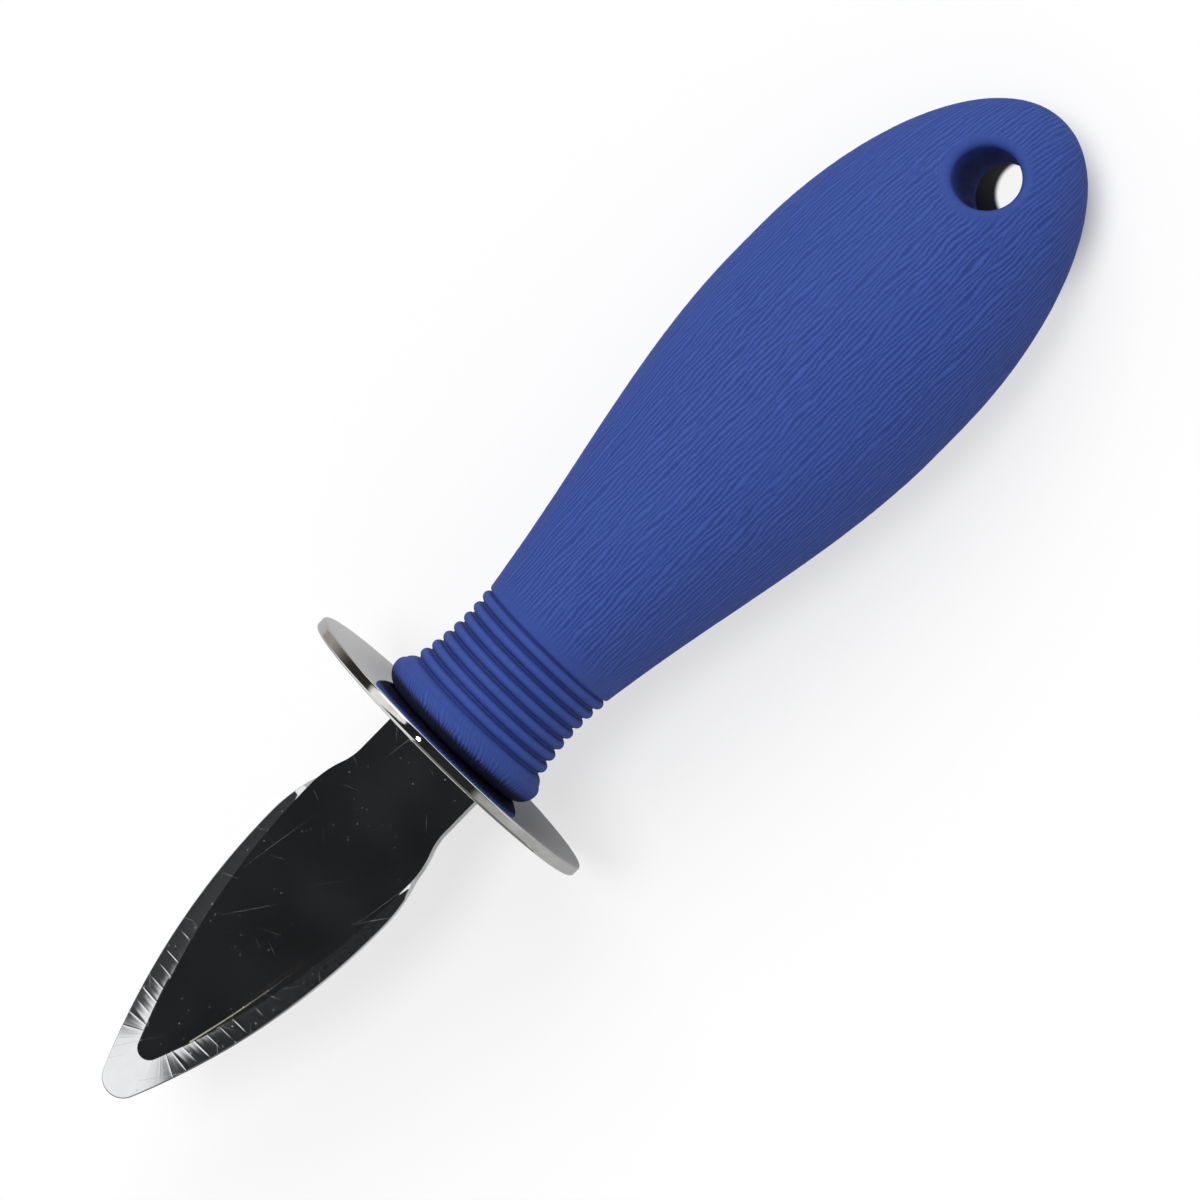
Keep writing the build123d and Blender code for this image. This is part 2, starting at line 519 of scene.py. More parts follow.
def rubber(name, colour):
    """Soft blue overmould: matt, paler on crests and darker in grooves as painted light and shade, on
    the grain also as dirt, with deep painted shade in ring valleys and next to the guard.
    """
    n = material_nodes(name)
    position = n.position()
    relief = n.add("Attribute", attribute_name="relief").outputs["Fac"]
    blotch = n.noise(position, 70.0, 3.0, 0.55)
    fine = n.noise(n.stretched(position, (620, 2500, 2500)), 1.0, 2.0, 0.6, 0.5)
    speckle = n.noise(position, 3200.0, 2.0, 0.6)
    groove, crest = toned(colour, (0.64, 0.68, 0.75)), toned(colour, (1.26, 1.23, 1.19))
    cool, deep = toned(colour, (0.86, 1.06, 1.02)), toned(colour, (0.10, 0.10, 0.10))
    # Darker in grooves and paler on crests: painted shade and light, on the grain also dirt in its
    # grooves
    tint = n.mix_colour(n.ramp(relief, 0.05, 0.95), groove, crest)
    tint = n.mix_colour(n.ramp(blotch, 0.3, 0.75, 0.0, 0.25), tint, cool)
    # Painted shade deepens the ring valleys
    tint = n.mix_colour(n.ramp(relief, -0.7, 0.0, 0.28, 0.0), tint, deep)
    # Painted shade next to the guard, where the guard shades the bead's front
    ahead = n.math("ADD", n.split(position)[0], n.math("MULTIPLY", relief, -0.3 * MM))
    tint = n.mix_colour(n.fade(ahead, painted_shade_by_guard), tint, deep)
    height = n.math("ADD", n.math("MULTIPLY", fine, 0.7), n.math("MULTIPLY", speckle, 0.3))
    return n.finish(n.add("BsdfPrincipled", {
        "Base Color": tint, "Roughness": n.ramp(fine, 0.3, 0.7, 0.62, 0.76),
        "Normal": n.bump(0.6, 0.09, height), "Specular IOR Level": 0.22}))


def plastic(name, colour):
    """The dark moulded plastic of the hidden core."""
    n = material_nodes(name)
    mottle = n.noise(n.position(), 400.0, 3.0, 0.6)
    tint = n.mix_colour(mottle, colour, toned(colour, (1.5, 1.5, 1.5)))
    return n.finish(n.add("BsdfPrincipled", {
        "Base Color": tint, "Roughness": n.ramp(mottle, 0.3, 0.7, 0.5, 0.65),
        "Normal": n.bump(0.2, 0.05, mottle)}))


def pale_sheet(name):
    """A pale sheet: white to the camera, painted darker in the metal's reflections, and pale to the
    knife it lights.

    To the camera the shadow on it is lifted towards white, but not in the deep shade painted under
    the hanging hole, which has a painted light spot.
    """
    n = material_nodes(name)
    position = n.position()
    path = n.add("LightPath")
    from_hole = n.distance(position, (-hole_place, 0, -floor_below_hole))
    from_lit = n.distance(position, (-hole_place - lit_shift[0], lit_shift[1], -floor_below_hole))
    # Painted shade in the metal's reflections: grey, and darker further ahead
    far = n.fade(n.split(position)[0], floor_far_reach)
    mirrored = n.mix_colour(far, floor_mirrored, floor_mirrored_far)
    tone = n.mix_colour(path.outputs["Is Glossy Ray"], floor_colour, mirrored)
    # The painted deep shade under the hanging hole, seen by the camera
    seen = n.mix_colour(n.fade(from_hole, deep_shade_reach), deep_shade, white)
    tone = n.mix_colour(path.outputs["Is Camera Ray"], tone, seen)
    paper = n.noise(position, 45.0, 3.0, 0.5)
    sheet = n.add("BsdfDiffuse", {"Color": tone, "Normal": n.bump(0.02, 0.2, paper)})
    clear = n.fade(from_hole, shadow_lift_reach, 0.0, shadow_lift)
    # The painted light spot in the deep shade, an emission that no lamp casts
    lift = n.math("MAXIMUM", clear, n.fade(from_lit, lit_reach, lit_lift, 0.0))
    lift = n.math("MULTIPLY", lift, path.outputs["Is Camera Ray"])
    return n.finish(n.mix_shader(lift, sheet, n.add("Emission", {"Color": white, "Strength": 1.0})))


class Outline:
    """Half of a leaf outline: one line and a chain of tangent arcs."""

    def __init__(self, neck_half, widest, half_width, reach, end_radius):
        swing = 2 * math.atan2(half_width - neck_half, widest - shoulder_start)
        both_radii = (widest - shoulder_start) / math.sin(swing)
        run = reach - end_radius - widest
        side_radius = (run**2 + half_width**2 - end_radius**2) / (2 * (half_width - end_radius))
        taper = math.asin(run / (side_radius - end_radius))
        self.pieces = [
            (None, shoulder_start - tang_start),
            (hollow_share * both_radii, swing),
            ((1 - hollow_share) * both_radii, -swing),
            (side_radius, -taper),
            (end_radius, taper - math.pi / 2),
        ]
        self.start = (tang_start, neck_half)

    def walk(self, steps):
        """Points and headings, steps[i] samples along the i-th piece."""
        place, heading = np.array(self.start, float), 0.0
        points, headings = [place.copy()], [0.0]
        for (radius, amount), count in zip(self.pieces, steps):
            for index in range(1, count + 1):
                share = index / count
                if radius is None:
                    point, turned = place + share * amount * np.array((1.0, 0.0)), heading
                else:
                    point, turned = self.arc(place, heading, radius, share * amount)
                points.append(point)
                headings.append(turned)
            place, heading = points[-1], headings[-1]
        return np.array(points), np.array(headings)

    @staticmethod
    def arc(place, heading, radius, turn):
        """The point and the heading after a turn along an arc."""
        side = math.copysign(1.0, turn)
        left = np.array((-math.sin(heading), math.cos(heading)))
        centre = place + side * radius * left
        turned = heading + turn
        return centre - side * radius * np.array((-math.sin(turned), math.cos(turned))), turned


def ground_height(x, share):
    """Relief of the ground band: shallow hollows between raised lines square to the blade.

    The lines stand a little unevenly, differ in strength, and grow towards the tip.
    """
    beat = x / grinding_pitch + 0.10 * np.sin(x * 2.9) + 0.06 * np.sin(x * 7.1 + 1.0)
    within = beat - np.floor(beat)
    line = np.exp(-(((within - 0.5) * grinding_pitch / grinding_line_width) ** 2))
    hollow = -np.abs(np.cos(math.pi * within)) * grinding_hollow
    grown, full = grinding_growth
    strength = 0.55 + 0.45 * np.sin(np.floor(beat) * 2.4)
    strength *= np.clip((x - grown) / (full - grown), 0.6, 1)
    fade = np.clip((last_line - x) / last_line_fade, 0, 1) * np.clip(5 * share * (1 - share), 0, 1)
    return (line * grinding_line_height * strength + hollow) * fade


def paired_panel(edge_points, panel_points, headings):
    """The panel's points level with the edge's, and near the tip at the same share of the way round."""
    def run(points):
        return np.append(0, np.cumsum(np.linalg.norm(np.diff(points, axis=0), axis=1)))

    edge_run, panel_run = run(edge_points), run(panel_points)
    edge_join = np.interp(band_join, edge_points[:, 0], edge_run)
    panel_join = np.interp(band_join, panel_points[:, 0], panel_run)
    share = (edge_run - edge_join) / (edge_run[-1] - edge_join)
    level = np.interp(edge_points[:, 0], panel_points[:, 0], panel_run)
    place = np.where(share < 0, level, panel_join + share * (panel_run[-1] - panel_join))
    x, y, heading = (np.interp(place, panel_run, values)
                     for values in (panel_points[:, 0], panel_points[:, 1], headings))
    return np.column_stack((x, y)), heading


def make_blade(material):
    """The leaf: a flat panel, a ground band that thins to the edge, and the straight neck."""
    edge = Outline(neck_half_width, widest_place, blade_half_width, blade_reach, tip_radius)
    panel = Outline(neck_half_width, panel_widest_place, panel_half_width,
                    blade_reach - panel_tip_gap, panel_tip_radius)
    edge_points = edge.walk(blade_steps)[0]
    panel_points, headings = paired_panel(edge_points, *panel.walk(blade_steps))
    inner = panel_points + np.column_stack((np.sin(headings), -np.cos(headings))) * panel_rounding
    inner[-1, 1] = 0.0
    band = np.linalg.norm(edge_points - panel_points, axis=1)
    shrink = 1 - np.clip(edge_bevel / np.maximum(band, 0.01), 0, 0.5)
    rows = [np.column_stack((inner, np.full(len(inner), blade_half_thickness)))]
    for share in np.linspace(0, 1, bevel_rows + 1):
        flat = panel_points + (edge_points - panel_points) * (share * shrink)[:, None]
        height = blade_half_thickness - (blade_half_thickness - edge_half_thickness) * share * shrink
        relief = ground_height(edge_points[:, 0], share) * np.clip(band - grinding_margin, 0, 1)
        rows.append(np.column_stack((flat, height + relief)))
    edge_height = edge_half_thickness - edge_bevel_depth
    rows.append(np.column_stack((edge_points, np.full(len(edge_points), edge_height))))
    upper = np.array(rows)
    half = np.concatenate((upper, upper[::-1] * (1, 1, -1)))
    mirrored = half[:, -2:0:-1] * (1, -1, 1)
    start_line = half[:, :1] * (1, -1, 1)
    ring = np.concatenate((half, mirrored, start_line), axis=1)
    piece = from_points("blade_leaf", ring.reshape(-1, 3), tube_faces(*ring.shape[:2]), material,
                        math.radians(14))
    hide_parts("blade")


def make_tang(material):
    """The tang inside the handle, with its two keying holes."""
    tang_length = -guard_thickness - tang_end
    end_turns = np.linspace(math.pi / 2, 3 * math.pi / 2, tang_end_steps)
    loops = [[(tang_start, tang_root_half_width),
              *round_points(tang_end + tang_end_half_width, tang_end_half_width, end_turns),
              (tang_start, -tang_root_half_width)]]
    for share in keying_hole_shares:
        centre = -guard_thickness - share * tang_length
        loops.append(round_points(centre, keying_hole_radius, even_turns(keying_hole_steps)))
    shape = bmesh.new()
    sides = []
    for height in (-blade_half_thickness, blade_half_thickness):
        rings, edges = [], []
        for loop in loops:
            rings.append([shape.verts.new((x * MM, y * MM, height * MM)) for x, y in loop])
            edges += closed_edges(shape, rings[-1])
        bmesh.ops.triangle_fill(shape, edges=edges, use_beauty=True)
        sides.append(rings)
    for below, above in zip(*sides):
        bridge(shape, below, above)
    piece = from_shape("blade_tang", shape, material, math.radians(30))
    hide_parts("blade")


def make_guard(material):
    """The polished disc, its rounded rim and the slot that the neck passes through."""
    inner = guard_radius - guard_edge_radius
    front = [(guard_edge_radius * (1 - math.cos(a)), inner + guard_edge_radius * math.sin(a))
             for a in np.linspace(0, math.pi / 2, guard_rounding_steps + 1)]
    back, radius = np.array(front + [(guard_thickness - b, r) for b, r in reversed(front)]).T
    rows = sections(back, radius, radius, guard_columns)
    turns = even_turns(guard_columns)
    uneven = guard_unevenness * noise_at(np.cos(turns) * 9, np.sin(turns) * 9, 4.0)
    rows[1:-1, :, 1:] *= (1 - np.abs(uneven) / guard_radius)[:, None]
    shape = bmesh.new()
    points = [[shape.verts.new(Vector(p) * MM) for p in row] for row in rows]
    for row, after in zip(points, points[1:]):
        bridge(shape, row, after)
    slots = []
    for place, rim in ((0.0, points[0]), (guard_thickness, points[-1])):
        slot = [shape.verts.new(Vector((-place, y * slot_half_width, z * slot_half_height)) * MM)
                for y, z in ((1, 1), (-1, 1), (-1, -1), (1, -1))]
        edges = closed_edges(shape, slot)
        edges += [shape.edges.get((rim[i], rim[(i + 1) % len(rim)])) for i in range(len(rim))]
        bmesh.ops.triangle_fill(shape, edges=edges, use_beauty=True)
        slots.append(slot)
    bridge(shape, *slots)
    piece = from_shape("guard_disc", shape, material, math.radians(40))
    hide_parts("guard")


def waist(back):
    """Radius of the ring crests at a distance behind the guard's front face."""
    first_crest = rings_start + ring_pitch / 2
    last_crest = body_start - ring_pitch / 2
    middle = first_crest + waist_place_share * (last_crest - first_crest)
    return waist_radius + waist_flare * ((back - middle) / (middle - first_crest)) ** 2


def arc_between(start, end, radius, steps):
    """Points of the outward arc of a radius from start to end, without start."""
    start, end = np.array(start, float), np.array(end, float)
    middle, half = (start + end) / 2, np.linalg.norm(end - start) / 2
    along = (end - start) / (2 * half)
    away = np.array((-along[1], along[0]))
    centre = middle - away * math.sqrt(radius**2 - half**2)
    first = math.atan2(*(start - centre)[::-1])
    last = math.atan2(*(end - centre)[::-1])
    return [tuple(centre + radius * np.array((math.cos(a), math.sin(a))))
            for a in np.linspace(first, last, steps + 1)[1:]]


def arc_through(start, crest, end, steps):
    """Points of the arc from start over crest to end, without start."""
    a, b, c = (complex(*p) for p in (start, crest, end))
    w = (c - a) / (b - a)
    centre = (b - a) * (w - abs(w) ** 2) / (2j * w.imag) + a
    first = math.atan2((a - centre).imag, (a - centre).real)
    last = math.atan2((c - centre).imag, (c - centre).real)
    first += FULL_TURN if first < last else 0
    return [(centre.real + abs(a - centre) * math.cos(t), centre.imag + abs(a - centre) * math.sin(t))
            for t in np.linspace(first, last, steps + 1)[1:]]


def neck_profile():
    """(back, radius) along the bead, its back step and the seven rings."""
    crest = (guard_thickness + bead_radius, bead_ring_radius + bead_radius)
    front = (guard_thickness, bead_ring_radius)
    groove = (crest[0] + bead_back_length, crest[1] - bead_back_drop)
    valley = (rings_start - (ring_pitch - ring_width) / 2, waist(rings_start) - ring_depth)
    profile = [(guard_thickness, bead_ring_radius - neck_end_depth), front]
    profile += arc_between(front, crest, bead_radius, bead_steps)
    profile += arc_between(crest, groove, bead_back_radius, bead_back_steps)
    profile += arc_between(groove, valley, bead_step_radius, bead_back_steps)
    for ring in range(ring_count):
        middle = rings_start + (ring + 0.5) * ring_pitch
        start = (middle - ring_width / 2, valley[1])
        end = (middle + ring_width / 2, waist(middle + ring_pitch / 2) - ring_depth)
        profile.append(start)
        profile += arc_through(start, (middle, waist(middle)), end, ring_steps)
        valley = end
    neck_end = body_start + neck_overlap
    return profile + [(neck_end, valley[1]), (neck_end, valley[1] - neck_end_depth)]


def make_neck(material):
    """The bead and the rings, turned as one, with fine hair lines over the bead's front."""
    profile = np.array(neck_profile())
    back, radius = profile[:, :1], profile[:, 1:]
    rows = sections(back[:, 0], radius[:, 0], radius[:, 0], neck_columns)
    turns = even_turns(neck_columns)
    around = turns * (bead_ring_radius + bead_radius)
    slant = around + (0.55 - 0.45 * np.sin(turns)) * (back - guard_thickness)
    bent = slant + 0.25 * noise_at(around / 1.4, back / 1.1, 3.0)
    fork = 0.8 * noise_at(bent / 1.6, back / 1.8, 14.0)
    hair = np.sin(FULL_TURN * (bent / bead_hair_pitch + fork))
    bead_end = guard_thickness + bead_radius + bead_back_length
    on_bead = (back > guard_thickness + 0.01) & (back < rings_start)
    lift = hair * bead_hair_depth * on_bead
    lift *= np.clip((bead_end - back) / bead_hair_fade, bead_hair_least, 1)
    uneven = ring_unevenness * noise_at(around / 3.1, back / 0.9, 8.0)
    uneven *= (back > rings_start) & (back < body_start)
    radial = np.column_stack((0 * turns, np.sin(turns), np.cos(turns)))
    rows += radial * (lift + uneven)[:, :, None]
    piece = from_points("grip_neck", rows.reshape(-1, 3), tube_faces(*rows.shape[:2]), material,
                        math.radians(50))
    on_rings = (back >= rings_start - 0.2) & (back <= body_start)
    crest_share = np.clip((radius - waist(back)) / ring_depth + 1, 0, 1)
    shade = np.where(on_rings, -0.7 + 1.3 * crest_share**0.5, 0.5 + 0.5 * lift / bead_hair_depth)
    store_relief(piece, shade.ravel())
    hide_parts("grip")


def store_relief(piece, values):
    """Keeps the relief for the material's painted shade and light: 0 in a groove and 1 on a crest, and
    less between rings.
    """
    attribute = piece.data.attributes.new("relief", "FLOAT", "POINT")
    attribute.data.foreach_set("value", np.asarray(values, np.float32))


def swell_size(share, size):
    """A smooth rise from the body's start to a size, leaving at a slope and ending level."""
    rise = rise_slope_share * (belly_front - body_start)
    level_in = 2 * share**3 - 3 * share**2 + 1
    rise *= share**3 - 2 * share**2 + share
    return body_start_radius * level_in + rise + size * (1 - level_in)


def body_stations():
    """(back, half width, half thickness) of every row from the shoulder to the butt."""
    length = belly_front - body_start
    edge = body_edge_radius
    flat = swell_size(edge / length, body_start_radius) - edge
    stations = [(body_start, flat - body_end_depth, flat - body_end_depth)]
    for turn in np.linspace(0, math.pi / 2, shoulder_rows):
        radius = flat + edge * math.sin(turn)
        stations.append((body_start + edge * (1 - math.cos(turn)), radius, radius))
    for share in np.linspace(edge / length, 1, swell_rows)[1:]:
        stations.append((body_start + share * length, swell_size(share, belly_half_width),
                         swell_size(share, belly_half_thickness)))
    for back in np.linspace(belly_front, belly_back, belly_rows)[1:]:
        stations.append((back, belly_half_width, belly_half_thickness))
    for turn in np.linspace(0, last_row_turn, butt_rows)[1:]:
        stations.append((belly_back + (butt_end - belly_back) * math.sin(turn),
                         belly_half_width * math.cos(turn), belly_half_thickness * math.cos(turn)))
    return np.array(stations)


def grain_height(back, around, seed):
    """The moulded grain from -1 in its grooves to 1: fine wavy lengthwise lines that fork and join."""
    drift = 0.4 * noise_at(back / 24.0, around / 10.0, 1.7 + seed)
    wander = 0.11 * noise_at(back / 0.9, around / 0.8, 5.1 + seed)
    place = around + drift + wander
    fork = 0.7 * noise_at(back / grain_length, place / 1.1, 9.3 + seed)
    lines = np.sin(FULL_TURN * (place / grain_pitch + fork))
    depth = np.clip(0.9 + 0.5 * noise_at(back / 3.0, around / 1.6, 21.3 + seed), 0.45, 1)
    fine = noise_at(back / 0.9, place / 0.34, 33.3 + seed)
    return np.clip(lines * depth + 0.5 * fine, -1.1, 1.1)


def outward(points):
    """Unit normals of a closed grid of points, by differences both ways."""
    along = np.gradient(points, axis=0)
    across = (np.roll(points, -1, axis=1) - np.roll(points, 1, axis=1)) / 2
    normal = np.cross(across, along)
    length = np.linalg.norm(normal, axis=2, keepdims=True)
    return normal / np.maximum(length, 1e-9)


def surface_height(back, across):
    """Height of the body's top at a place, by the same sections as the rows."""
    share = np.clip((back - body_start) / (belly_front - body_start), 0, 1)
    width = swell_size(share, belly_half_width)
    thick = swell_size(share, belly_half_thickness)
    turn = np.clip((back - belly_back) / (butt_end - belly_back), 0, 0.9999)
    shrink = np.sqrt(1 - turn**2)
    return thick * shrink * np.sqrt(np.clip(1 - (across / (width * shrink)) ** 2, 0, 1))


def near_hole(radius):
    """Fades the grain out towards the hole's lip."""
    start = hole_radius + hole_lip_radius + grain_hole_gap
    return np.clip((radius - start) / grain_hole_fade, 0, 1)


def hole_rings(boundary, side):
    """Rings of points from the window's boundary in to the hole, over its lip and down its wall."""
    x, y = boundary[:, 0] + hole_place, boundary[:, 1]
    angle = np.arctan2(y, x)
    far = np.hypot(x, y)
    unit = np.column_stack((np.cos(angle), np.sin(angle)))

    def place_at(radius):
        return hole_place - radius * unit[:, 0], radius * unit[:, 1]

    def height_at(radius):
        return surface_height(*place_at(radius))

    def grain_at(radius):
        back, across = place_at(radius)
        cuts = np.linspace(0, 1, section_cuts)[:, None] * across
        heights = surface_height(back, cuts)
        around = np.sum(np.hypot(np.diff(cuts, axis=0), np.diff(heights, axis=0)), axis=0)
        around = side * np.sign(across) * around
        return grain_height(back, around, 0.0 if side > 0 else underside_seed) * near_hole(radius)

    lip_out = hole_radius + hole_lip_radius
    step = 0.05
    tilt = np.arctan((height_at(lip_out + step) - height_at(lip_out - step)) / (2 * step))
    out_radius = lip_out - hole_lip_radius * np.sin(tilt)
    rings, shades = [], []
    for share in np.linspace(0, 1, hole_surface_rings + 1)[1:]:
        radius = far + (out_radius - far) * share
        shades.append(grain_at(radius))
        rings.append((radius, height_at(radius) + shades[-1] * grain_depth))
    centre = height_at(out_radius) - hole_lip_radius * np.cos(tilt)
    for share in np.linspace(0, 1, hole_lip_rings + 1)[1:]:
        turn = (math.pi / 2 + tilt) + (math.pi / 2 - tilt) * share
        rings.append((lip_out + hole_lip_radius * np.cos(turn), centre + hole_lip_radius * np.sin(turn)))
    mouth = rings[-1][1]
    for share in hole_wall_shares:
        rings.append((np.full(len(far), hole_radius), mouth * share))
    shades += [np.zeros(len(far))] * (len(rings) - len(shades))
    points = [np.column_stack((r * unit[:, 0] - hole_place, r * unit[:, 1], side * z))
              for r, z in rings]
    return zip(points, shades)


def around_from_crest(points):
    """Distance round each section from its top line, and on the underside from its bottom one."""
    step = np.linalg.norm(points - np.roll(points, 1, axis=1), axis=2)
    run = np.cumsum(step, axis=1) - step[:, :1]
    whole = run[:, -1:] + step[:, :1]
    half, quarter = body_columns // 2, body_columns // 4
    around = run.copy()
    around[:, body_columns - quarter:] -= whole
    around[:, quarter + 1:body_columns - quarter] -= run[:, half:half + 1]
    below = np.zeros(body_columns, bool)
    below[quarter + 1:body_columns - quarter] = True
    return around, below


def body_grid():
    """The body's surface with its grain: rows of points, the grain's height and each row's place."""
    stations = body_stations()
    back = stations[:, :1]
    points = sections(*stations.T, body_columns)
    around, below = around_from_crest(points)
    relief = np.empty_like(around)
    for side, seed in ((~below, 0.0), (below, underside_seed)):
        relief[:, side] = grain_height(back, around[:, side], seed)
    relief *= np.clip((back - body_start - grain_front_gap) / grain_front_fade, 0, 1)
    relief *= np.clip((butt_end - back) / grain_butt_fade, 0, 1)
    relief *= near_hole(np.hypot(points[:, :, 0] + hole_place, points[:, :, 1]))
    points += outward(points) * (relief * grain_depth)[:, :, None]
    return points, relief, stations[:, 0]


def make_body_piece(name, vertices, faces, relief, seam, material):
    """One closed half of the body; seam is the row of shared normals that hides the join."""
    piece = from_points(name, vertices, faces, material, math.radians(50))
    rows, seam_normals = seam
    normals = np.zeros((len(vertices), 3))
    normals[rows] = seam_normals
    piece.data.normals_split_custom_set_from_vertices([tuple(n) for n in normals])
    store_relief(piece, relief)
    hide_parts("grip")


def make_body(material):
    """The swelling body and its rounded butt with the hanging hole, joined just before the belly."""
    points, relief, places = body_grid()
    seam_normals = outward(points)[seam_row]
    columns = body_columns
    half = columns // 2

    front_rows = seam_row + 1
    faces = tube_faces(front_rows, columns)
    seam = (slice(seam_row * columns, front_rows * columns), seam_normals)
    shade = (0.5 + 0.5 * relief[:front_rows]).ravel()
    make_body_piece("grip_body", points[:front_rows].reshape(-1, 3), faces, shade, seam, material)

    points, relief, places = points[seam_row:], relief[seam_row:], places[seam_row:]
    low, high = np.where(np.abs(places - hole_place) < hole_window)[0][[0, -1]]
    span = int(hole_window_angle / FULL_TURN * columns)

    def cut(row, column):
        across = (column + half) % columns - half
        opposite = column - half
        return low <= row < high and (-span <= across < span or -span <= opposite < span)

    faces = tube_faces(len(points), columns, skip=cut)
    vertices = [tuple(p) for p in points.reshape(-1, 3)]
    shade = list((0.5 + 0.5 * relief).ravel())
    last_rings = []
    for side, centre in ((1, 0), (-1, half)):
        window = [(centre + c) % columns for c in range(-span, span + 1)]
        loop = [low * columns + c for c in window]
        loop += [row * columns + window[-1] for row in range(low + 1, high + 1)]
        loop += [high * columns + c for c in reversed(window[:-1])]
        loop += [row * columns + window[0] for row in range(high - 1, low, -1)]
        previous = loop
        for points_in, grain in hole_rings(np.array([vertices[i] for i in loop]), side):
            current = list(range(len(vertices), len(vertices) + len(loop)))
            vertices += [tuple(p) for p in points_in]
            shade += list(0.5 + 0.5 * grain)
            faces += [(previous[i - 1], previous[i], current[i], current[i - 1])
                      for i in range(len(loop))]
            previous = current
        last_rings.append(previous)
    upper, lower = last_rings
    first = Vector(vertices[upper[0]]).xy
    nearest = min(range(len(lower)), key=lambda i: (first - Vector(vertices[lower[i]]).xy).length)
    facing = [lower[(nearest - i) % len(lower)] for i in range(len(lower))]
    faces += [(upper[i - 1], upper[i], facing[i], facing[i - 1]) for i in range(len(upper))]
    seam = (slice(0, columns), seam_normals)
    make_body_piece("grip_butt", vertices, faces, shade, seam, material)


def make_floor():
    """A pale sheet that the guard's rim and the handle's belly both rest on."""
    touch_back = guard_thickness - guard_edge_radius
    grip_points = np.array([v.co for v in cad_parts["grip"].data.vertices]) / MM
    behind = grip_points[grip_points[:, 0] < -body_start]
    rise = np.min((behind[:, 2] + guard_radius) / (-behind[:, 0] - touch_back))
    points = [(x * MM, y * MM, (-guard_radius - floor_gap - rise * (x + touch_back)) * MM)
              for x, y in round_points(-floor_centre_back, floor_radius, even_turns(floor_sides))]
    mesh = bpy.data.meshes.new("floor")
    mesh.from_pydata(points, [], [tuple(range(floor_sides))])
    mesh.materials.append(pale_sheet("pale_floor"))
    floor = bpy.data.objects.new("floor", mesh)
    bpy.context.scene.collection.objects.link(floor)


def make_camera():
    """The camera at its place, aimed at the middle of the knife."""
    towards = Vector((-math.sin(lean_to_butt), math.cos(lean_to_butt) * math.sin(roll_across),
                      math.cos(lean_to_butt) * math.cos(roll_across)))
    butt = Vector((-1, 0, 0))
    along = (butt - butt.dot(towards) * towards).normalized()
    square = towards.cross(along)
    right = math.cos(axis_angle) * along - math.sin(axis_angle) * square
    up = math.sin(axis_angle) * along + math.cos(axis_angle) * square
    aim = Vector((-aim_back, aim_across / math.cos(roll_across), 0)) * MM
    distance = focal_pixels / pixels_per_mm * MM
    data = bpy.data.cameras.new("camera")
    data.sensor_width = sensor_width
    data.lens = sensor_width * focal_pixels / picture_width
    data.clip_start = 10 * MM
    camera = bpy.data.objects.new("camera", data)
    turn = Matrix((right, up, towards)).transposed().to_4x4()
    camera.matrix_world = Matrix.Translation(aim + towards * distance) @ turn
    bpy.context.scene.collection.objects.link(camera)
    bpy.context.scene.camera = camera


def make_sun(name, strength, towards, softness):
    """A far lamp in a direction, with its softness in degrees."""
    data = bpy.data.lights.new(name, "SUN")
    data.energy = strength
    data.angle = math.radians(softness)
    lamp = bpy.data.objects.new(name, data)
    lamp.rotation_mode = "QUATERNION"
    lamp.rotation_quaternion = Vector(towards).to_track_quat("Z", "Y")
    bpy.context.scene.collection.objects.link(lamp)
    return lamp


def make_world(ambient):
    """A white room: white where the camera or a shiny surface sees it, softer as light."""
    n = Nodes(bpy.data.worlds.new("room"), "OutputWorld")
    path = n.add("LightPath").outputs
    shown = n.math("MAXIMUM", path["Is Camera Ray"], path["Is Glossy Ray"])
    shown = n.math("MAXIMUM", shown, path["Is Transmission Ray"])
    level = n.add("MapRange", {"Value": shown, "To Min": ambient, "To Max": 1.0}).outputs[0]
    bpy.context.scene.world = n.finish(n.add("Background", {"Color": white, "Strength": level}))


def make_card(name, points, material):
    """A studio card that only polished faces show: it casts no shadow and lights nothing, so its tone is
    a painted reflection.
    """
    mesh = bpy.data.meshes.new(name)
    mesh.from_pydata([tuple(c * MM for c in p) for p in points], [], [tuple(range(len(points)))])
    mesh.materials.append(material)
    card = bpy.data.objects.new(name, mesh)
    bpy.context.scene.collection.objects.link(card)
    card.visible_camera = False
    card.visible_diffuse = False
    card.visible_transmission = False
    card.visible_shadow = False


def ceiling_material():
    """The room above the knife as its metal shows it, a painted reflection: black up to an edge, but for
    a gap to one side.
    """
    n = material_nodes("studio_ceiling")
    position = n.position()
    x, y = n.split(position)[:2]
    ahead = n.math("DIVIDE", x, ceiling_height * MM)
    across = n.math("DIVIDE", y, ceiling_height * MM)
    slanted = n.math("ADD", ahead, n.math("MULTIPLY", across, black_edge_slant))
    behind_edge = n.ramp(slanted, black_edge - black_softness, black_edge + black_softness, 1.0, 0.0)
    off_gap = n.math("ADD", n.ramp(across, *black_gap_near), n.ramp(across, *black_gap_far, 1.0, 0.0))
    off_gap = n.math("MAXIMUM", off_gap, n.ramp(ahead, *black_gap_front))
    black = n.math("MULTIPLY", behind_edge, off_gap)
    cloth = n.noise(position, 32.0, 6.0, 0.65)
    paler = n.math("ADD", n.ramp(across, -0.75, -0.40, 1.5, 0.0), n.ramp(across, 0.0, 0.15, 0.0, 0.5))
    level = n.math("MULTIPLY", n.ramp(cloth, 0.36, 0.64, *black_levels), n.math("ADD", paler, 1.0))
    dark = n.add("Emission", {"Color": black_colour, "Strength": level})
    return n.finish(n.mix_shader(black, n.add("BsdfTransparent"), dark))


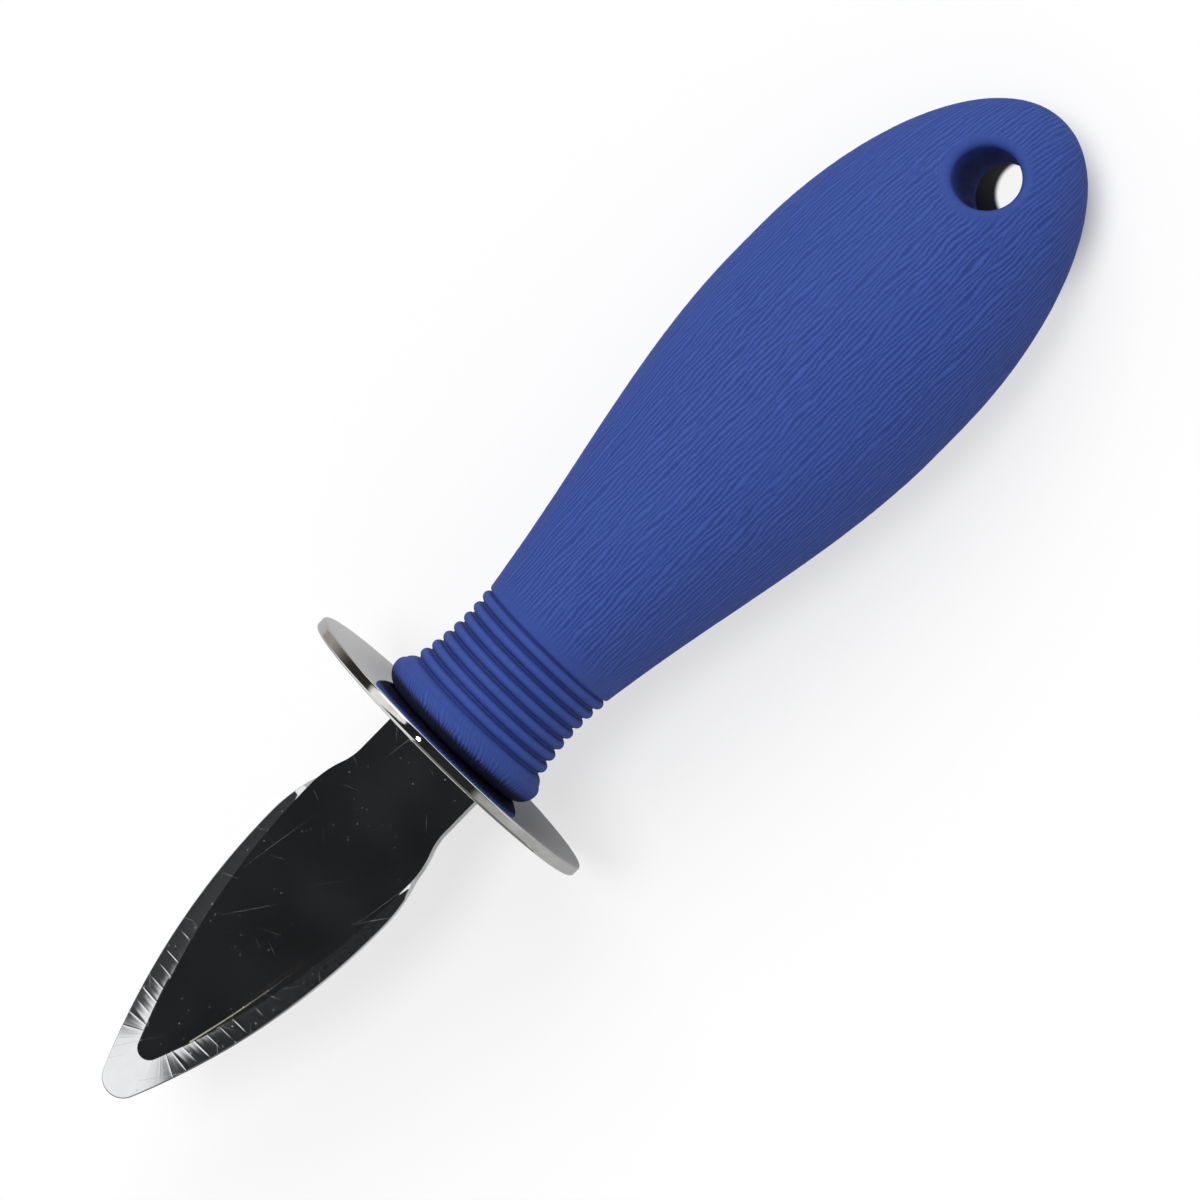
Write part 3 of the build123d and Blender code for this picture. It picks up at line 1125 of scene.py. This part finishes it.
def cloth_material(name, colour, levels, low=(-12, -6), high=(60, 66)):
    """Plain cloth with a soft weave that glows and only the metal shows, with painted light from one
    level at its foot to another above.

    It fades in over the heights in low and out over the heights in high.
    """
    n = material_nodes(name)
    position = n.position()
    weave = n.noise(position, 60.0, 3.0, 0.55)
    height = n.split(position)[2]
    level = n.fade(height, (0.0, foot_height), *levels)
    tone = n.math("MULTIPLY", n.ramp(weave, 0.3, 0.7, 0.85, 1.15), level)
    cloth = n.add("Emission", {"Color": colour, "Strength": tone})
    solid = n.math("MULTIPLY", n.fade(height, low), n.fade(height, high, 1.0, 0.0))
    return n.finish(n.mix_shader(solid, n.add("BsdfTransparent"), cloth))


def make_cards():
    """Painted reflections: the ceiling over the knife, the cloths beside and ahead of the guard, and the
    bright spot, a painted glint.
    """
    z = ceiling_height
    make_card("ceiling", [(x * z, y * z, z) for x, y in ceiling_corners], ceiling_material())
    for name, y, (bottom, top), low, high, levels, colour in side_cloths:
        corners = ((cloth_back, y, bottom), (cloth_front, y, bottom),
                   (cloth_front, y, top), (cloth_back, y, top))
        make_card(name + "_side", corners, cloth_material(name + "_cloth", colour, levels, low, high))
    turns = np.radians(np.linspace(*rim_cloth_turns, rim_cloth_steps))
    arc = [(rim_cloth_ahead, radius * math.sin(a), radius * math.cos(a))
           for radius, order in zip(rim_cloth_radii, (turns, turns[::-1])) for a in order]
    dim = cloth_material("rim_cloth", rim_cloth_colour, (rim_cloth_level, rim_cloth_level))
    make_card("rim_front", arc, dim)
    # The bright spot: a small glowing square that only the metal shows, a painted glint
    x, y, z = spark_place
    half = spark_size / 2
    corners = ((x - half, y - half, z), (x + half, y - half, z),
               (x + half, y + half, z), (x - half, y + half, z))
    make_card("spark", corners, cloth_material("spark", white, (spark_level, spark_level)))


blade_steel = steel("polished_blade_steel", blade_colour, polish, blade_marks)
guard_steel = steel("polished_guard_steel", guard_colour, polish, guard_marks)
grip_rubber = rubber("blue_soft_grip", grip_colour)
core_plastic = plastic("core_plastic", core_colour)

make_blade(blade_steel)
make_tang(blade_steel)
make_guard(guard_steel)
make_neck(grip_rubber)
make_body(grip_rubber)
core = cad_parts["handle_core"]
core.data.materials.clear()
core.data.materials.append(core_plastic)

make_floor()
make_cards()
make_camera()
make_world(room_light)
top_light = make_sun("top_light", *top_lamp)
top_light.visible_glossy = False
make_sun("key_light", *key_lamp)
bpy.context.scene.view_settings.view_transform = "Standard"
